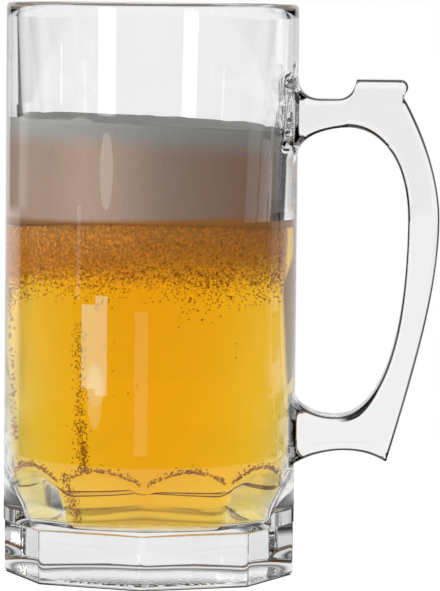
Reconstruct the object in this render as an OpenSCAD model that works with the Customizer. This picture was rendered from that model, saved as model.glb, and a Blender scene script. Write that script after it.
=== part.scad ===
// Glass beer mug with a panelled foot and a bowed handle, filled with beer under a head of foam.
// Millimetres. The mug stands on the XY plane, its axis is Z and its handle points along +X.

/* [Body] */
// Height from the table to the top of the lip
mug_height = 190; // [180:1:220]
// Outer diameter of the round wall
body_d = 97; // [94:0.2:110]
// Thickness of the wall at the lip
lip_wall = 3.3; // [2.5:0.1:5]
// Depth below the lip at which the flared mouth ends
mouth_depth = 36; // [20:1:37]
// Thickness of the wall where the flared mouth ends
neck_wall = 5.1; // [4:0.1:9]
// Thickness of the wall at the top of the inner panels
low_wall = 13.9; // [12:0.1:18]
// Thickness of the glass under the cavity
floor_thickness = 17.5; // [15:0.5:24]

/* [Panels] */
// Number of flat panels around the foot, and around the foot of the cavity
panel_count = 8; // [6:1:10]
// Depth that the foot's flats are cut into the round wall, at their middle
foot_flat_depth = 3.7; // [2:0.1:6]
// Height of the foot's flats
foot_panel_h = 17.5; // [12:0.5:18.5]
// Height of the slope from a foot flat back to the round wall
foot_shoulder_h = 0.75; // [0.5:0.25:6]
// Chamfer around the bottom edge of the foot
foot_edge = 1.2; // [0.5:0.1:2]
// Width of the standing ring, from the middle of a flat to the hollow under the foot
standing_ring_w = 13.4; // [8:0.2:20]
// Depth of the hollow under the foot
punt_depth = 1.25; // [1:0.25:5]
// Depth that the inner flats stand in from the round cavity, at their middle
inner_flat_depth = 8.1; // [3:0.1:10]
// Height of the inner flats above the cavity's floor
inner_panel_h = 3.5; // [3.5:0.5:14]
// Height of the arched slope above each inner flat
inner_shoulder_h = 16; // [3:0.5:20]
// Chamfer between the inner flats and the floor
inner_edge = 1.5; // [1:0.25:3.5]

/* [Handle] */
// Width of the handle, side to side
handle_width = 19; // [14:0.5:26]
// How far the back of the grip stands out from the round wall
handle_reach = 47.2; // [42:0.5:60]
// Height of the grip's farthest point
grip_z = 118.6; // [112:0.5:124]
// Thickness of the glass at the back of the grip
grip_thickness = 10.4; // [8:0.2:13]
// Highest point of the finger gap
gap_top_z = 149.5; // [146:0.5:152]
// Lowest point of the finger gap
gap_bottom_z = 53.4; // [50:0.2:57]
// Height of the saddle on top of the upper arm
saddle_z = 158.9; // [157:0.1:161]
// Top end of the upper root on the wall
upper_root_top = 167; // [165:0.5:174]
// Bottom end of the upper root on the wall
upper_root_bottom = 139.5; // [134:0.5:144]
// Top end of the lower root on the wall
lower_root_top = 60; // [58:0.5:66]
// Bottom end of the lower root on the wall
lower_root_bottom = 37.5; // [32:0.5:39]
// Height of the flat thumb rest
thumb_z = 165.4; // [164:0.2:172]
// Distance from the wall to the near edge of the thumb rest
thumb_start = 19.4; // [18:0.2:22]
// Distance from the wall to the far edge of the thumb rest
thumb_end = 36.4; // [34:0.1:40]
// Radius of the thumb rest's rounded far edge
thumb_edge_r = 2.4; // [1.5:0.1:3]
// Distance from the wall to the pointed heel of the handle
heel_reach = 29.8; // [26:0.2:34]
// Height of the heel
heel_z = 39; // [34:0.2:40]
// Height of the lower arm's underside at the top of its arch
lower_arch_z = 42.4; // [40:0.2:44]

/* [Drink] */
// Height of the line where the beer meets the foam
beer_z = 118.8; // [80:0.2:140]
// Height of the foam's edge, midway between its high and its low side
foam_z = 150; // [145:0.5:165]
// How far the foam's edge falls from the far side to the handle's side
foam_fall = 3.5; // [0:0.5:6]
// How far the middle of the foam lies under its edge
foam_dip = 1; // [0.5:0.25:4]
// Width of the slope between the foam's edge and its flat middle
foam_edge_w = 9; // [4:1:16]
// Play between the drink and the glass
drink_gap = 0.1; // [0.05:0.05:0.3]

/* [Hidden] */
// Facets for drawing circles
$fn = 128;
// Pieces in one curved stretch of an outline
curve_steps = 12;
// Overshoot of cutting shapes
past = 1;
body_r = body_d / 2;
rim_r = body_r - lip_wall;
lip_r = lip_wall / 2;
neck_r = body_r - neck_wall;
low_r = body_r - low_wall;
foot_flat_r = body_r - foot_flat_depth;
inner_flat_r = low_r - inner_flat_depth;
punt_edge_r = foot_flat_r - standing_ring_w;
panel_top_z = floor_thickness + inner_panel_h + inner_shoulder_h;
panel_turn = 360 / panel_count;
// Heights and radii of the round cavity wall, floor to lip
wall_line = [
    [floor_thickness, low_r],
    [panel_top_z, low_r],
    [mug_height - mouth_depth, neck_r],
    [mug_height - lip_r, rim_r]
];
// Radius of the sphere that hollows the underside
punt_r = (punt_edge_r * punt_edge_r + punt_depth * punt_depth) / (2 * punt_depth);
// How far the handle's outline reaches into the wall before it is cut back to the wall
root_sink = body_r - sqrt(body_r * body_r - handle_width * handle_width / 4) + past;

// Radius of the round cavity wall at height z
function wall_r(z) = lookup(z, wall_line);

// Points on a cubic curve with four control points
function curve(p) = [
    for (i = [0:curve_steps])
        let (t = i / curve_steps, s = 1 - t)
        s * s * s * p[0] + 3 * s * s * t * p[1] + 3 * s * t * t * p[2] + t * t * t * p[3]
];

// Points on a circle's arc
function arc(centre, r, from, to) = [
    for (i = [0:curve_steps])
        let (a = from + (to - from) * i / curve_steps)
        centre + r * [cos(a), sin(a)]
];

// Copies of a panel's cutter, with a corner of the foot on the +X axis
module around_panels() {
    for (i = [0:panel_count - 1])
        rotate(panel_turn * (i + 0.5))
            rotate([90, 0, 0])
                linear_extrude(height = 4 * body_r, center = true)
                    children();
}

// What the outer flats take off the foot: flat, sloping shoulder and bottom chamfer
module foot_cut_section() {
    cut_r = body_r + past;
    slope_top = foot_panel_h + foot_shoulder_h * (foot_flat_depth + past) / foot_flat_depth;
    polygon([
        [foot_flat_r - foot_edge - past, -past],
        [foot_flat_r, foot_edge],
        [foot_flat_r, foot_panel_h],
        [cut_r, slope_top],
        [cut_r, -past]
    ]);
}

// Glass that an inner flat adds to the round cavity: chamfer, flat and arched slope
module inner_panel_section(outer_r, play) {
    flat_r = inner_flat_r - play;
    slope = inner_shoulder_h / inner_flat_depth;
    top_of_flat = floor_thickness + inner_panel_h;
    polygon([
        [flat_r - inner_edge - past, floor_thickness - past],
        [flat_r, floor_thickness + inner_edge],
        [flat_r, top_of_flat],
        [outer_r, top_of_flat + (outer_r - flat_r) * slope],
        [outer_r, floor_thickness - past]
    ]);
}

// The drink between two heights: the cavity's own shape, with play at the glass
module drink(low, high) {
    levels = [for (p = wall_line) if (p[0] > low && p[0] < high) p[0]];
    difference() {
        rotate_extrude()
            polygon(concat(
                [[0, low]],
                [for (z = concat([low], levels, [high])) [wall_r(z) - drink_gap, z]],
                [[0, high]]
            ));
        around_panels()
            inner_panel_section(low_r + past, drink_gap);
    }
}

// Vessel: round wall, lip and floor, with flats inside and outside and a hollow underneath
module body() {
    color("aliceblue", 0.35)
    difference() {
        union() {
            rotate_extrude()
                polygon(concat(
                    [[0, 0], [body_r - foot_edge, 0], [body_r, foot_edge]],
                    arc([body_r - lip_r, mug_height - lip_r], lip_r, 0, 180),
                    [for (i = [len(wall_line) - 2:-1:0]) [wall_line[i][1], wall_line[i][0]]],
                    [[0, floor_thickness]]
                ));
            intersection() {
                around_panels()
                    inner_panel_section(low_r + past, 0);
                cylinder(r = low_r + past / 2, h = mug_height);
            }
        }
        around_panels()
            foot_cut_section();
        translate([0, 0, punt_depth - punt_r])
            sphere(r = punt_r);
    }
}

// Outline of the handle, seen from the side, with x counted from the wall
module handle_outline() {
    gap_reach = handle_reach - grip_thickness;
    fillet_x = upper_root_top - saddle_z;
    rise_x = thumb_z - saddle_z;
    thumb_centre = [thumb_end - thumb_edge_r, thumb_z - thumb_edge_r];
    grip_start = thumb_centre + thumb_edge_r * [cos(-80), sin(-80)];
    heel = [heel_reach, heel_z];
    saddle_start = [fillet_x, saddle_z];
    saddle_end = [thumb_start - rise_x, saddle_z];
    gap_top = [gap_reach * 0.45, gap_top_z];
    gap_back = [gap_reach, grip_z];
    gap_bottom = [gap_reach * 0.36, gap_bottom_z];
    arch = lower_arch_z + (lower_arch_z - (heel_z + lower_root_bottom) / 2) / 3;
    outer_side = concat(
        [[-root_sink, upper_root_top]],
        curve([
            [0, upper_root_top],
            [0, upper_root_top - fillet_x * 0.7],
            [fillet_x * 0.4, saddle_z],
            saddle_start
        ]),
        curve([
            saddle_end,
            saddle_end + [rise_x * 0.6, 0],
            [thumb_start - rise_x * 0.15, thumb_z - rise_x * 0.6],
            [thumb_start, thumb_z]
        ]),
        arc(thumb_centre, thumb_edge_r, 90, -80),
        curve([
            grip_start,
            grip_start + [(handle_reach - grip_start[0]) * 0.5, (grip_z - grip_start[1]) * 0.25],
            [handle_reach, grip_z + (grip_start[1] - grip_z) * 0.36],
            [handle_reach, grip_z]
        ]),
        curve([
            [handle_reach, grip_z],
            [handle_reach, grip_z - (grip_z - heel_z) * 0.29],
            heel + [(handle_reach - heel_reach) * 0.5, (grip_z - heel_z) * 0.33],
            heel + [thumb_edge_r / 2, thumb_edge_r / 2]
        ]),
        curve([
            heel,
            [heel_reach * 0.72, arch],
            [heel_reach * 0.34, arch],
            [0, lower_root_bottom]
        ]),
        [[-root_sink, lower_root_bottom]]
    );
    gap_side = concat(
        [[-root_sink, lower_root_top]],
        curve([
            [0, lower_root_top],
            [gap_bottom[0] * 0.2, gap_bottom_z + (lower_root_top - gap_bottom_z) * 0.35],
            [gap_bottom[0] * 0.55, gap_bottom_z],
            gap_bottom
        ]),
        curve([
            gap_bottom,
            gap_bottom + [(gap_reach - gap_bottom[0]) * 0.72, 0],
            [gap_reach, grip_z - (grip_z - gap_bottom_z) * 0.51],
            gap_back
        ]),
        curve([
            gap_back,
            [gap_reach, grip_z + (gap_top_z - grip_z) * 0.62],
            gap_top + [(gap_reach - gap_top[0]) * 0.58, 0],
            gap_top
        ]),
        curve([
            gap_top,
            [gap_top[0] * 0.5, gap_top_z],
            [0, upper_root_bottom + (gap_top_z - upper_root_bottom) * 0.6],
            [0, upper_root_bottom]
        ]),
        [[-root_sink, upper_root_bottom]]
    );
    polygon(concat(outer_side, gap_side));
}

// Bowed handle with a thumb rest, seated on the round wall at its two roots
module handle() {
    color("aliceblue", 0.35)
    difference() {
        translate([body_r, 0, 0])
            rotate([90, 0, 0])
                linear_extrude(height = handle_width, center = true)
                    handle_outline();
        cylinder(r = body_r, h = mug_height);
    }
}

// Beer that fills the cavity from its floor
module beer() {
    color("goldenrod", 0.7)
    drink(floor_thickness, beer_z);
}

// What the head's top leaves empty: a shallow dish, its rim at height 0
module foam_dish() {
    rim = wall_r(foam_z);
    tall = foam_fall + foam_dip + past;
    rotate_extrude()
        polygon([
            [0, -foam_dip],
            [rim - foam_edge_w, -foam_dip],
            [rim, 0],
            [rim + 2 * past, 0],
            [rim + 2 * past, tall],
            [0, tall]
        ]);
}

// Head of foam that stands on the beer, dished and lower on the handle's side
module foam() {
    color("tan")
    difference() {
        drink(beer_z, foam_z + foam_fall / 2);
        translate([0, 0, foam_z])
            rotate([0, atan(foam_fall / (2 * wall_r(foam_z))), 0])
                foam_dish();
    }
}

body();
handle();
beer();
foam();
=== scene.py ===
"""Dresses the beer mug's frame: clear pressed glass, gold beer, a head of foam and their bubbles."""

import math
import random

import bmesh
import bpy
import numpy as np
from bpy.props import FloatProperty, FloatVectorProperty, IntProperty, PointerProperty
from mathutils import Matrix, Vector


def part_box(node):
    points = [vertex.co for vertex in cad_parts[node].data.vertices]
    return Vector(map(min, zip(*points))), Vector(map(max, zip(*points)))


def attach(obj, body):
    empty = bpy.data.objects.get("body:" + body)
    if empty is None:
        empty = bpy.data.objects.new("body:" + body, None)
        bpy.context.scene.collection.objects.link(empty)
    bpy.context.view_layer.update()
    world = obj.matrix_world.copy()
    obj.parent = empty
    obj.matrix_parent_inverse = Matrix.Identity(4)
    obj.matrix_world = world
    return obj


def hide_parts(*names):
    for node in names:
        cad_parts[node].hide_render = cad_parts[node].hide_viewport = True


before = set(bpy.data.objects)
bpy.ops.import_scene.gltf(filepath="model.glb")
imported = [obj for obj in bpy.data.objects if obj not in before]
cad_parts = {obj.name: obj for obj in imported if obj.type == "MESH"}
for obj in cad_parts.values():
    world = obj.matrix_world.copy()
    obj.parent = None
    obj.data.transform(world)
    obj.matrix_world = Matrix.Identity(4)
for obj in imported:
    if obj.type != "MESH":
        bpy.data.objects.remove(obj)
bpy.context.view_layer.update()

bl_info = {
    "name": "Beer mug",
    "version": (1, 0, 0),
    "blender": (4, 5, 0),
    "location": "3D View > Sidebar > Mug",
    "description": "Builds a filled glass beer mug around its frame",
    "category": "Mesh",
}

_, BODY_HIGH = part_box("body")
HANDLE_LOW, HANDLE_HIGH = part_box("handle")
BEER_LOW, BEER_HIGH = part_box("beer")
_, FOAM_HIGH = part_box("foam")

# Panels around the mug and the steps of its mesh
PANELS = 8
PANEL_TURN = 2 * math.pi / PANELS
HALF_PANEL_STEPS = 15
ROOT_COLUMNS = 13
ROOT_ROWS = 24
ROOT_MARGIN = 0.002

# Foam: its radius, its reach into the beer, its crest, the side that has come off the wall, and its top
FOAM_RADIUS = 0.0433
FOAM_REACH = 0.0004
CREST_TURN = -2.044
CREST_WIDTH = 0.06
CREST_HEIGHT = 0.0018
DRY_TURN = math.radians(48)
DRY_FADE = math.radians(16)
EDGE_WAVES = 26
TOP_BUBBLES = 170
TOP_RELIEF = 0.15
TOP_SPREAD = 0.042

# Soaked froth under the head: its depth, its distances from the wall and its end beyond the handle's side
FRINGE_DEPTH = 0.027
FRINGE_TOP = 0.0002
FRINGE_INSETS = (0.0007, 0.0010)
FRINGE_STEPS = 20
FRINGE_FULL = 0.0305
FRINGE_END = 0.0345

# Band of bubbles in the soaked froth: its middle under the beer's top, its spread and its upper limit
BAND_MIDDLE = 0.0145
BAND_SPREAD = 0.0055
BAND_LIMIT = 0.002
BAND_INSET = 0.0009

# Strings of bubbles: turn, spread in radians, low end, high end and number
BUBBLE_STRINGS = (
    (-3.10, 0.05, 0.042, 0.104, 110), (-2.13, 0.035, 0.038, 0.086, 330), (-2.11, 0.02, 0.037, 0.047, 130),
    (-2.13, 0.03, 0.037, 0.062, 120), (-1.87, 0.2, 0.05, 0.09, 14), (-0.6, 0.3, 0.06, 0.09, 8),
    (-2.30, 0.03, 0.0195, 0.036, 240),
)
STRING_INSET = 0.0008
ARCH_BUBBLES = 210
ARCH_TURN = 0.36
ARCH_SPREAD = 0.0009

# Painted shade on the glass's edges: where the dark starts, and the side-facing normals that count as the
# handle's corners
EDGE_START = 0.84
CORNER_GAIN = 0.62
CORNER_RISE = (0.02, 0.08)
CORNER_FALL = (0.80, 0.92)

# Painted contact shadow on the floor: its shift and its inner and outer edges, counted from the foot's flats
CONTACT_SHADOW_SHIFT = (0, 0.0018, 0)
CONTACT_SHADOW_INNER = (-0.0045, -0.0040)
CONTACT_SHADOW_OUTER = (-0.0002, 0.0004)

# Painted shade: dark strips on the floor that only the glass sees beside the mug: where they begin, and the
# distance where they end
STRIP_START = (0.062, 0.078)
STRIP_END = (0.21, 0.25)

# Brightness of the floor that the glass sees, by distance from the mug's axis in metres: painted shade in
# dark rings under the mug
PAINTED_FLOOR_RINGS = ((0, 0.85), (0.0305, 0.85), (0.033, 0.05), (0.037, 0.05), (0.0395, 0.95), (0.043, 0.95),
               (0.0445, 0.03), (0.0475, 0.03), (0.049, 1.0))

# Brightness of the studio's walls by turn in degrees, from straight behind the mug towards the handle
HIGH_WALLS = (
    (0, 0.905), (24, 0.905), (27, 0.02), (52, 0.02), (56, 0.8), (64, 0.8), (72, 0.06),
    (288, 0.06), (296, 0.8), (304, 0.8), (308, 0.02), (326, 0.02), (329, 0.905), (360, 0.905),
)
MIDDLE_WALLS = (
    (0, 0.96), (26, 0.96), (29, 0.86), (33, 0.86), (36, 0.96), (54, 0.96), (57, 0.05), (68, 0.05),
    (76, 0.06), (284, 0.06), (290, 0.05), (302, 0.05), (306, 0.96), (360, 0.96),
)
LOW_WALLS = (
    (0, 0.96), (25, 0.96), (28, 0.86), (33, 0.86), (36, 1.15), (55, 1.15), (58, 0.05), (68, 0.05),
    (74, 0.06), (286, 0.06), (289, 0.02), (319, 0.02), (321, 0.96), (360, 0.96),
)
DEEP_WALLS = (
    (0, 0.96), (26, 0.96), (29, 0.02), (52, 0.02), (56, 0.96), (304, 0.96), (312, 0.02), (322, 0.02),
    (326, 0.96), (360, 0.96),
)
TOP_WALLS = ((0, 0.93), (62, 0.93), (70, 0.1), (290, 0.1), (298, 0.93), (360, 0.93))
# Lower edge of each tier of walls in degrees above the horizon, over the deepest one
WALL_TIERS = ((LOW_WALLS, -8.5), (MIDDLE_WALLS, -6.3), (HIGH_WALLS, -2.9), (TOP_WALLS, 3.0))
TIER_BLEND = 0.15
# Brightness by height in degrees, from straight down to straight up
ROOF = ((0, 1.0), (106, 1.0), (109, 0.03), (121, 0.03), (124, 0.95), (180, 0.95))

WHITE = (1, 1, 1)
COOL_LIGHT = (0.25, 0.88, 1.0)
NEARLY_BLACK = (0.02, 0.02, 0.02)
GLASS_IOR = 1.52
BEER_IOR = 1.345
FROTH_IOR = 1.33


def length(name, text, default):
    """A size that a user can change, in metres."""
    return FloatProperty(name=name, description=text, default=default, subtype="DISTANCE", unit="LENGTH")


def turning(name, text, degrees):
    """An angle that a user can change."""
    return FloatProperty(name=name, description=text, default=math.radians(degrees), subtype="ANGLE")


def colour(name, text, default):
    """A colour that a user can change, in linear light."""
    return FloatVectorProperty(name=name, description=text, default=default, subtype="COLOR", min=0, max=1)


class MUG_PG_glass(bpy.types.PropertyGroup):
    """Sizes and tint of the glass."""
    radius: length("Radius", "Outer radius of the round wall", float(BODY_HIGH[1]))
    height: length("Height", "Height of the lip above the table", float(BODY_HIGH[2]))
    lip_wall: length("Lip wall", "Thickness of the wall at the lip", 0.0033)
    mouth_depth: length("Mouth depth", "Depth of the flared mouth", 0.036)
    neck_wall: length("Neck wall", "Thickness of the wall under the mouth", 0.0051)
    low_wall: length("Low wall", "Thickness of the wall above the inner panels", 0.0139)
    floor: length("Floor", "Thickness of the glass under the cavity", float(BEER_LOW[2]))
    foot_flat_depth: length("Foot flat depth", "Depth of the foot's flats at their middle", 0.0037)
    foot_panel: length("Foot panel", "Height of the foot's flats", 0.0175)
    foot_shoulder: length("Foot shoulder", "Height of the slope above the foot's flats", 0.00075)
    foot_edge: length("Foot edge", "Rounding of the bottom edge", 0.0012)
    ring: length("Standing ring", "Width of the standing ring at a flat", 0.0134)
    punt_depth: length("Hollow depth", "Depth of the hollow under the foot", 0.00125)
    inner_flat_depth: length("Inner flat depth", "Depth of the inner flats at their middle", 0.0081)
    inner_panel: length("Inner panel", "Height of the upright part of the inner flats", 0.0035)
    inner_shoulder: length("Inner shoulder", "Height of the leaning, arched part of an inner flat", 0.016)
    inner_edge: length("Inner edge", "Chamfer between the inner flats and the floor", 0.0015)
    softness: length("Softness", "Rounding of the pressed edges", 0.0007)
    inner_softness: length("Inner softness", "Rounding of the inner panels' corners", 0.0016)
    tint: colour("Tint", "Colour that thick glass takes on", (0.79, 0.81, 0.805))


class MUG_PG_handle(bpy.types.PropertyGroup):
    """Sizes of the handle, with distances counted out from the round wall."""
    width: length("Width", "Width of the handle, side to side", float(HANDLE_HIGH[1] - HANDLE_LOW[1]))
    reach: length("Reach", "How far the grip stands out", float(HANDLE_HIGH[0] - BODY_HIGH[1]))
    grip_z: length("Grip height", "Height of the grip's farthest point", 0.1186)
    grip: length("Grip", "Thickness of the glass at the grip", 0.0104)
    gap_top: length("Gap top", "Highest point of the finger gap", 0.1495)
    gap_bottom: length("Gap bottom", "Lowest point of the finger gap", 0.0534)
    saddle: length("Saddle", "Height of the saddle on the upper arm", 0.1589)
    upper_top: length("Upper root top", "Top end of the upper root", float(HANDLE_HIGH[2]))
    upper_bottom: length("Upper root bottom", "Bottom end of the upper root", 0.1395)
    lower_top: length("Lower root top", "Top end of the lower root", 0.060)
    lower_bottom: length("Lower root bottom", "Bottom end of the lower root", float(HANDLE_LOW[2]))
    thumb: length("Thumb rest", "Height of the flat thumb rest", 0.1654)
    thumb_start: length("Thumb rest start", "Near edge of the thumb rest", 0.0194)
    thumb_end: length("Thumb rest end", "Far edge of the thumb rest", 0.0364)
    thumb_edge: length("Thumb edge", "Radius of the thumb rest's far edge", 0.0024)
    heel_reach: length("Heel reach", "Distance out to the heel", 0.0298)
    heel: length("Heel", "Height of the heel", 0.039)
    arch: length("Lower arch", "Height of the arch under the lower arm", 0.0424)
    edge: length("Edge rounding", "Rounding of the handle's long edges", 0.003)
    fillet: length("Root fillet", "Rounding where the handle meets the wall", 0.0015)


class MUG_PG_drink(bpy.types.PropertyGroup):
    """Levels and colours of the beer and its foam."""
    beer_top: length("Beer level", "Height where the beer meets the foam", float(BEER_HIGH[2]))
    foam_top: length("Foam level", "Height of the foam at its high side", float(FOAM_HIGH[2]))
    overlap: length("Overlap", "How far the beer's surface lies inside the glass", 0.00025)
    foam_gap: length("Foam gap", "Air between the foam and the glass", 0.00015)
    dip: length("Foam dip", "How far the middle of the foam lies under its edge", 0.0013)
    tilt: length("Foam tilt", "How far the foam falls from its high side to the middle", 0.0021)
    slant: length("Foam slant", "How far the foam falls from its far side to the middle", 0.0013)
    droop: length("Foam droop", "How far the foam hangs into the beer on both sides", 0.0022)
    beer_colour: colour("Beer", "Colour that the beer keeps over its depth", (0.998, 0.850, 0.020))
    foam_pale: colour("Pale foam", "Colour of the foam high on the wall", (0.34, 0.262, 0.215))
    foam_deep: colour("Deep foam", "Colour of the foam low on the wall", (0.45, 0.262, 0.190))
    foam_crown: colour("Foam crown", "Colour of the foam right under its top", (0.37, 0.35, 0.33))
    foam_rim: colour("Foam rim", "Colour of the foam's drying upper edge", (0.40, 0.385, 0.37))
    # Painted shade: foam made darker on the handle's side, away from the light
    foam_side_painted_shade: colour("Foam side", "Colour of the foam on the handle's side", (0.36, 0.205, 0.140))
    # Painted light: foam made lighter left of the middle, where more light falls
    foam_painted_light: colour("Lit foam", "Colour of the foam left of the middle", (0.50, 0.335, 0.26))
    fringe: colour("Fringe", "Colour of the froth that the beer soaks", (1.0, 0.33, 0.004))
    crust: colour("Crust", "Colour of the soaked froth right under the head", (0.26, 0.125, 0.050))
    crust_far: colour("Far crust", "Colour of the soaked froth towards the handle", (0.46, 0.175, 0.035))
    # Painted shade: the dark rim that refraction gives a bubble, put into its colour
    bubble: colour("Bubble rim", "Colour of a bubble's dark rim", (0.11, 0.04, 0.005))
    bubble_count: IntProperty(name="Bubbles", description="Bubbles under the foam", default=9000, min=0)
    seed: IntProperty(name="Seed", description="Start of the random draws", default=7, min=0)


class MUG_PG_stage(bpy.types.PropertyGroup):
    """Floor and camera."""
    distance: length("Distance", "From the mug's axis to the camera", 1.50)
    camera_z: length("Camera height", "Height of the camera above the table", 0.1952)
    turn: turning("Turn", "Camera's turn towards the handle", 2.7)
    roll: turning("Roll", "Camera's roll", 0.549)
    aim_x: length("Aim X", "Point in the middle of the picture, out towards the handle", 0.02311)
    aim_z: length("Aim Z", "Height of the point in the middle of the picture", 0.09295)
    picture_height: length("Picture height", "Height of the picture at the mug's axis", 0.19683)
    floor_radius: length("Floor radius", "Radius of the pale floor", 0.42)


# Outlines of the vessel


def smooth_min(a, b, soft):
    """The smaller of two lengths, rounded where they are nearly equal."""
    h = np.clip(0.5 + 0.5 * (b - a) / soft, 0, 1)
    return b * (1 - h) + a * h - soft * h * (1 - h)


def smooth_max(a, b, soft):
    """The larger of two lengths, rounded where they are nearly equal."""
    return -smooth_min(-np.asarray(a, float), -np.asarray(b, float), soft)


def column_angles():
    """Angles of the mesh's columns, closer together at the panels' corners."""
    steps = [PANEL_TURN / 2 * (i / HALF_PANEL_STEPS) ** 1.6 for i in range(HALF_PANEL_STEPS + 1)]
    half = steps + [PANEL_TURN - s for s in reversed(steps[1:-1])]
    return np.array([k * PANEL_TURN + s for k in range(PANELS) for s in half])


def turn_from(angle, at):
    """Signed turn of angles from a place, within half a turn."""
    return np.angle(np.exp(1j * (angle - at)))


def panel_radius(angle, flat, soft):
    """Radius of an eight-sided outline with a corner at angle 0."""
    from_corner = np.mod(angle, PANEL_TURN)
    near = flat / np.cos(PANEL_TURN / 2 - from_corner)
    beside = flat / np.cos(np.minimum(PANEL_TURN / 2 + from_corner, 1.5 * PANEL_TURN - from_corner))
    return smooth_min(near, beside, soft)


def outer_radius(glass, angle, z):
    """Outer radius of the glass: round, with flats around the foot."""
    slope = glass.foot_flat_depth / glass.foot_shoulder
    flat = glass.radius - glass.foot_flat_depth
    flat = flat + smooth_max(0, (z - glass.foot_panel) * slope, glass.softness)
    return smooth_min(glass.radius, panel_radius(angle, flat, glass.softness), glass.softness)


def cavity_radius(glass, angle, z):
    """Radius of the cavity: round and tapered, with arched flats at its foot."""
    low = glass.radius - glass.low_wall
    panel_top = glass.floor + glass.inner_panel
    neck = glass.height - glass.mouth_depth
    arch_top = panel_top + glass.inner_shoulder
    taper = (glass.low_wall - glass.neck_wall) / (neck - arch_top)
    flare = (glass.neck_wall - glass.lip_wall) / glass.mouth_depth
    wall = low + (z - arch_top) * taper
    wall = np.where(z > neck, glass.radius - glass.neck_wall + (z - neck) * flare, wall)
    slope = glass.inner_flat_depth / glass.inner_shoulder
    flat = low - glass.inner_flat_depth
    flat = flat + smooth_max(0, (z - panel_top) * slope, glass.inner_softness)
    flat = flat - smooth_max(0, glass.floor + glass.inner_edge - z, glass.softness)
    return smooth_min(wall, panel_radius(angle, flat, glass.inner_softness), 1.4 * glass.softness)


def foot_flat(glass):
    """Distance from the axis to the middle of a flat, at the foot's bottom edge."""
    return glass.radius - glass.foot_flat_depth - glass.foot_edge / 2


def inner_marks(glass):
    """Heights just above the inner arches and the floor's chamfer, where the rows change their step."""
    arches = glass.floor + glass.inner_panel + glass.inner_shoulder + 0.003
    return arches, glass.floor + glass.inner_edge + 0.0015


# Meshes


def ring(radius, angle, z):
    """One row of points around the axis."""
    height = np.broadcast_to(z, angle.shape)
    return np.stack([radius * np.cos(angle), radius * np.sin(angle), height], axis=1)


def levels(*runs):
    """Heights from a list of (start, end, steps) runs, each start once."""
    out = []
    for start, end, steps in runs:
        out += [start + (end - start) * i / steps for i in range(steps)]
    return out + [runs[-1][1]]


def curve_points(p, steps):
    """Points on a cubic curve with four control points."""
    p = np.array(p, float)
    t = np.linspace(0, 1, steps + 1)[:, None]
    s = 1 - t
    return s**3 * p[0] + 3 * s * s * t * p[1] + 3 * s * t * t * p[2] + t**3 * p[3]


def path_run(path):
    """Length along a path at each of its points."""
    return np.concatenate([[0], np.cumsum(np.linalg.norm(np.diff(path, axis=0), axis=1))])


def along(path, share):
    """Points at the given shares of a path's length."""
    run = path_run(path)
    at = np.asarray(share) * run[-1]
    return np.stack([np.interp(at, run, path[:, k]) for k in range(2)], axis=1)


def join_paths(*paths):
    """One path from several that meet end to end."""
    return np.concatenate([paths[0]] + [p[1:] for p in paths[1:]])


def new_mesh(name, verts, faces):
    """A smooth mesh object of these points and faces."""
    mesh = bpy.data.meshes.new(name)
    mesh.from_pydata([tuple(v) for v in verts], [], faces)
    mesh.polygons.foreach_set("use_smooth", [True] * len(mesh.polygons))
    mesh.validate()
    mesh.update()
    piece = bpy.data.objects.new(name, mesh)
    bpy.context.scene.collection.objects.link(piece)
    return piece


def lathe_faces(rows, columns, skip=()):
    """Quads between neighbouring rows, without the (row, column) cells to skip."""
    faces = []
    for i in range(rows - 1):
        for j in range(columns):
            if (i, j) not in skip:
                k = (j + 1) % columns
                a = i * columns
                faces.append((a + j, a + k, a + columns + k, a + columns + j))
    return faces


def cap_faces(row_start, columns, centre, upward):
    """A fan from a row to the point on the axis."""
    faces = []
    for j in range(columns):
        pair = (row_start + j, row_start + (j + 1) % columns)
        faces.append((*(pair if upward else pair[::-1]), centre))
    return faces


def lathe(name, rows, low_centre, high_centre):
    """A closed piece from rows of points, bottom middle to top middle."""
    columns = len(rows[0])
    verts = np.concatenate(rows + [np.array([low_centre, high_centre])])
    count = len(rows) * columns
    faces = lathe_faces(len(rows), columns)
    faces += cap_faces(0, columns, count, False)
    faces += cap_faces(count - columns, columns, count + 1, True)
    return new_mesh(name, verts, faces)


def foot_rows(glass, angle):
    """Rows of the underside: the hollow, the standing ring and the rounded bottom edge."""
    foot = outer_radius(glass, angle, 0.0)
    hollow = glass.radius - glass.foot_flat_depth - glass.ring
    edge = glass.foot_edge
    rows = []
    for share in (0.1, 0.3, 0.5, 0.7, 0.85, 0.94, 0.98):
        rows.append(ring(np.full_like(angle, hollow * share), angle, glass.punt_depth * (1 - share**2)))
    for share in (0.01, 0.06, 0.2, 0.4, 0.6, 0.8, 0.94):
        rows.append(ring(hollow + (foot - edge - hollow) * share, angle, 0.0))
    for i in range(7):
        a = math.pi / 2 * i / 6
        rows.append(ring(foot - edge * (1 - math.sin(a)), angle, edge * (1 - math.cos(a))))
    return rows


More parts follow.
